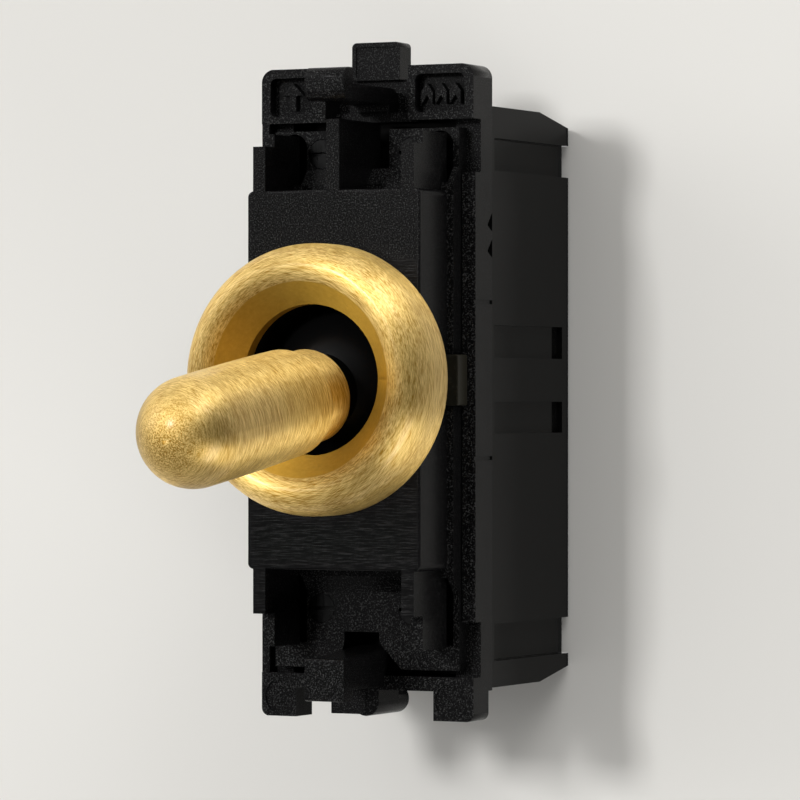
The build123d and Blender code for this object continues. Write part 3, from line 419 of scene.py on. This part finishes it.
def front_faces(material):
    """1 on faces that look to the front, where the mould is spark-eroded, and less on others. It
    also sets where the painted glints go.
    """
    where = add(material, "ShaderNodeTexCoord")
    facing = parts_of(material, where.outputs["Normal"])[1]
    return ramp(material, facing, *FACING_FRONT, 1.0, GRAINS_AND_GLINTS_ELSEWHERE)


def nylon(name, colour, painted_glint_colour, roughness, depth, grain, specular):
    """A moulding with a fine spark-eroded surface, whose raised grain has a real bump and a lighter
    painted colour: painted glints.
    """
    made = new_material(name)
    bsdf = shader(made)
    point = object_point(made)
    speckle = noise(made, point, grain, FEW_OCTAVES, GRAIN_ROUGHNESS)
    cloud = noise(made, point, GLOSS_CLOUD, FEW_OCTAVES, GLOSS_CLOUD_ROUGHNESS)
    grains_and_glints = math_node(made, "MULTIPLY",
                       ramp(made, speckle, *GRAIN_FROM, 0.0, 1.0), front_faces(made))
    # The raised grain is painted lighter: painted glints on top of the real bump
    link(made, blend_colours(made, grains_and_glints, colour, painted_glint_colour), bsdf.inputs["Base Color"])
    rough = ramp(made, cloud, *MIDDLE_OF_NOISE, roughness - GLOSS_SPREAD, roughness + GLOSS_SPREAD)
    link(made, rough, bsdf.inputs["Roughness"])
    bsdf.inputs["Specular IOR Level"].default_value = specular
    link(made, bump(made, grains_and_glints, depth), bsdf.inputs["Normal"])
    return made


def scratch_panel(made):
    """Puts faint level scratches in place of the raised grain on the panel, below its top strip.
    The scratches carry the painted glint colour too, over their real bump.
    """
    bsdf = shader(made)
    point = object_point(made)
    _, y, z = parts_of(made, point)
    low = math_node(made, "LESS_THAN", z, PANEL_SMOOTH_BELOW)
    front = math_node(made, "LESS_THAN", y, PANEL_FRONT_DEPTH)
    smooth = math_node(made, "MULTIPLY", low, front)
    drawn = stretched(made, point, PANEL_SCRATCH_STRETCH)
    streak = noise(made, drawn, PANEL_SCRATCHES, FEW_OCTAVES, GRAIN_ROUGHNESS)
    scratches = ramp(made, streak, *PANEL_SCRATCH_FROM, 0.0, PANEL_SCRATCH_HEIGHT)
    raised = bsdf.inputs["Normal"].links[0].from_node.inputs["Height"]
    height = blend_numbers(made, smooth, raised.links[0].from_socket, scratches)
    link(made, height, raised)
    # The scratches also take the painted glint colour: painted glints
    link(made, height, bsdf.inputs["Base Color"].links[0].from_node.inputs["Factor"])


def metal(name, colour, roughness, grain):
    """Plain machined or drawn metal."""
    made = new_material(name)
    bsdf = shader(made)
    streak = noise(made, stretched(made, object_point(made), STREAK_STRETCH), grain)
    light = tuple(min(1.0, c * STREAK_BRIGHTER) for c in colour)
    tone = blend_colours(made, ramp(made, streak, *MIDDLE_OF_NOISE, 0.0, 1.0), colour, light)
    link(made, tone, bsdf.inputs["Base Color"])
    bsdf.inputs["Metallic"].default_value = 1.0
    less, more = METAL_ROUGHNESS_SPREAD
    rough = ramp(made, streak, *MIDDLE_OF_NOISE, roughness - less, roughness + more)
    link(made, rough, bsdf.inputs["Roughness"])
    link(made, bump(made, streak, STREAK_DEPTH), bsdf.inputs["Normal"])
    return made


def dress(material, nodes):
    """Gives a material to CAD nodes."""
    for name in nodes:
        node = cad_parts[name]
        node.data.materials.clear()
        node.data.materials.append(material)


def soften():
    """Rounds the moulded edges of CAD nodes a little, as real mouldings are."""
    for name in SOFTENED:
        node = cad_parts[name]
        weld = node.modifiers.new("weld", "WELD")
        weld.merge_threshold = WELD_WITHIN
        flat = node.modifiers.new("flat", "DECIMATE")
        flat.decimate_type = "DISSOLVE"
        flat.angle_limit = FLAT_WITHIN
        edge = node.modifiers.new("edge", "BEVEL")
        edge.width = SOFT_WIDTH
        edge.segments = SOFT_SEGMENTS
        edge.limit_method = "ANGLE"
        edge.angle_limit = SOFT_FROM
        edge.harden_normals = True


def paint():
    """Materials of every CAD node. Gives back the frame's, which the marks share."""
    mouldings = {}
    for name, (*look, nodes) in NYLONS.items():
        mouldings[name] = nylon(name, *look)
        dress(mouldings[name], nodes)
    scratch_panel(mouldings["cover_nylon"])
    dress(ring_brass(), ("bezel_ring",))
    dolly = brushed_brass("dolly_brass", DOLLY_TILT, PIVOT, DOLLY_ROUGHNESS, has_tip=True)
    dress(dolly, ("dolly",))
    for name, (*look, nodes) in METALS.items():
        dress(metal(name, *look), nodes)
    return mouldings["frame_nylon"]


def raised_mark(name, outline, front, rear, material):
    """A moulded form: an outline in X and Z, raised from its rear to its front, with soft edges."""
    form = bmesh.new()
    floor = form.faces.new([form.verts.new((x, rear, z)) for x, z in outline])
    pushed = bmesh.ops.extrude_face_region(form, geom=[floor])["geom"]
    for corner in pushed:
        if isinstance(corner, bmesh.types.BMVert):
            corner.co.y = front
    bmesh.ops.recalc_face_normals(form, faces=form.faces)
    mesh = bpy.data.meshes.new(name)
    form.to_mesh(mesh)
    form.free()
    mesh.materials.append(material)
    made = bpy.data.objects.new(name, mesh)
    bpy.context.scene.collection.objects.link(made)
    edge = made.modifiers.new("edge", "BEVEL")
    edge.width = MARK_EDGE
    edge.segments = SOFT_SEGMENTS
    edge.limit_method = "ANGLE"
    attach(made, "base")


def oblong(left, right, low, high):
    """The four corners of an upright rectangle."""
    return [(left, low), (right, low), (right, high), (left, high)]


def tag_outline(outline, middle_x):
    """A mark's outline in metres, at its place in a tag pocket."""
    middle_z = TAG_TOP - TAG_H / 2
    return [(middle_x + x * MM, middle_z + z * MM) for x, z in outline]


def make_marks(material):
    """The web below the catch, two lugs of the left rail, and the marks in the tag pockets."""
    raised_mark("catch_web", oblong(*CATCH_WEB), *CATCH_WEB_Y, material)
    raised_mark("rail_lug_top", oblong(*LUG_TOP), *LUG_Y, material)
    raised_mark("rail_lug_bottom", oblong(*LUG_BOTTOM), *LUG_Y, material)
    raised_mark("tag_arrow", tag_outline(ARROW, TAG_LEFT_X), *TAG_Y, material)
    for number, places in ((1, -1), (2, 0), (3, 1)):
        middle_x = TAG_RIGHT_X + places * CHEVRON_PITCH
        raised_mark(f"tag_chevron_{number}", tag_outline(CHEVRON, middle_x), *TAG_Y, material)


def make_backdrop():
    """The pale surface behind the module, clear from behind, which lets light on to the rear."""
    plane = bpy.data.meshes.new("backdrop")
    half = BACKDROP_SIZE / 2
    y = CAD_BOX[1].y + BACKDROP_GAP
    corners = [(x, y, z) for x, z in oblong(-half, half, -half, half)]
    plane.from_pydata(corners, [], [(0, 1, 2, 3)])
    made = bpy.data.objects.new("backdrop", plane)
    bpy.context.scene.collection.objects.link(made)
    material = new_material("backdrop_pale")
    bsdf = shader(material)
    bsdf.inputs["Base Color"].default_value = (*PALE, 1)
    bsdf.inputs["Roughness"].default_value = 1.0
    bsdf.inputs["Specular IOR Level"].default_value = 0.0
    clear = add(material, "ShaderNodeBsdfTransparent")
    mix = add(material, "ShaderNodeMixShader")
    side = add(material, "ShaderNodeNewGeometry")
    path = add(material, "ShaderNodeLightPath")
    near = math_node(material, "LESS_THAN", path.outputs["Ray Length"], BACKDROP_CLEAR_WITHIN)
    unseen = math_node(material, "SUBTRACT", 1.0, path.outputs["Is Camera Ray"])
    at_rear = math_node(material, "MULTIPLY", near, unseen)
    see_through = math_node(material, "MAXIMUM", side.outputs["Backfacing"], at_rear)
    link(material, see_through, mix.inputs[0])
    link(material, bsdf.outputs[0], mix.inputs[1])
    link(material, clear.outputs[0], mix.inputs[2])
    link(material, mix.outputs[0], material.node_tree.nodes["Material Output"].inputs["Surface"])
    plane.materials.append(material)


def make_world():
    """Soft surroundings, brighter overhead and behind, and dim on the right at mid height."""
    world = bpy.data.worlds.new("studio")
    bpy.context.scene.world = world
    world.use_nodes = True
    way = add(world, "ShaderNodeTexCoord")
    x, y, z = parts_of(world, way.outputs["Generated"])
    behind = ramp(world, y, *FRONT_TO_BEHIND, WORLD_FRONT, WORLD_BEHIND)
    overhead = ramp(world, z, *LOW_TO_HIGH, WORLD_LOW, WORLD_HIGH)
    right = ramp(world, x, *MIDDLE_TO_RIGHT, 0.0, WORLD_RIGHT_DIM)
    level = ramp(world, math_node(world, "ABSOLUTE", z), *LEVEL_TO_STEEP, 1.0, 0.0)
    undimmed = math_node(world, "SUBTRACT", 1.0, math_node(world, "MULTIPLY", right, level))
    strength = math_node(world, "MULTIPLY", behind,
                         math_node(world, "MULTIPLY", overhead, undimmed))
    soft = world.node_tree.nodes["Background"]
    link(world, strength, soft.inputs["Strength"])
    soft.inputs["Color"].default_value = (*WORLD_COLOUR, 1)


def area_light(name, direction, size, power):
    """A square soft light that looks at the module from a direction."""
    data = bpy.data.lights.new(name, "AREA")
    data.size = size
    data.energy = power
    made = bpy.data.objects.new(name, data)
    bpy.context.scene.collection.objects.link(made)
    away = Vector(direction).normalized()
    made.location = away * LIGHT_DISTANCE
    made.rotation_euler = away.to_track_quat("Z", "Y").to_euler()
    return made


def make_lights():
    """Soft fills, and a key light whose wall shadow is the black body's alone, as photographed."""
    key = area_light("key", KEY_DIRECTION, KEY_SIZE, KEY_POWER)
    blockers = bpy.data.collections.new("key_blockers")
    for name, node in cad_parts.items():
        if name not in ("bezel_ring", "dolly"):
            blockers.objects.link(node)
    key.light_linking.blocker_collection = blockers
    for name, direction, power in FILLS:
        area_light(name, direction, FILL_SIZE, power)


def make_camera():
    """The photograph's viewpoint."""
    right = Vector((math.cos(VIEW_AZIMUTH), math.sin(VIEW_AZIMUTH), 0))
    back = Vector((math.sin(VIEW_AZIMUTH), -math.cos(VIEW_AZIMUTH), 0))
    data = bpy.data.cameras.new("camera")
    data.sensor_width = SENSOR
    data.lens = LENS
    data.clip_start = NEAREST_SEEN
    made = bpy.data.objects.new("camera", data)
    bpy.context.scene.collection.objects.link(made)
    made.location = back * VIEW_DISTANCE + right * VIEW_RIGHT + Vector((0, 0, VIEW_UP))
    made.rotation_euler = (math.radians(90), 0, VIEW_AZIMUTH)
    bpy.context.scene.camera = made


make_camera()
make_world()
make_backdrop()
make_lights()
make_marks(paint())
soften()
bpy.context.scene.view_settings.view_transform = "Standard"
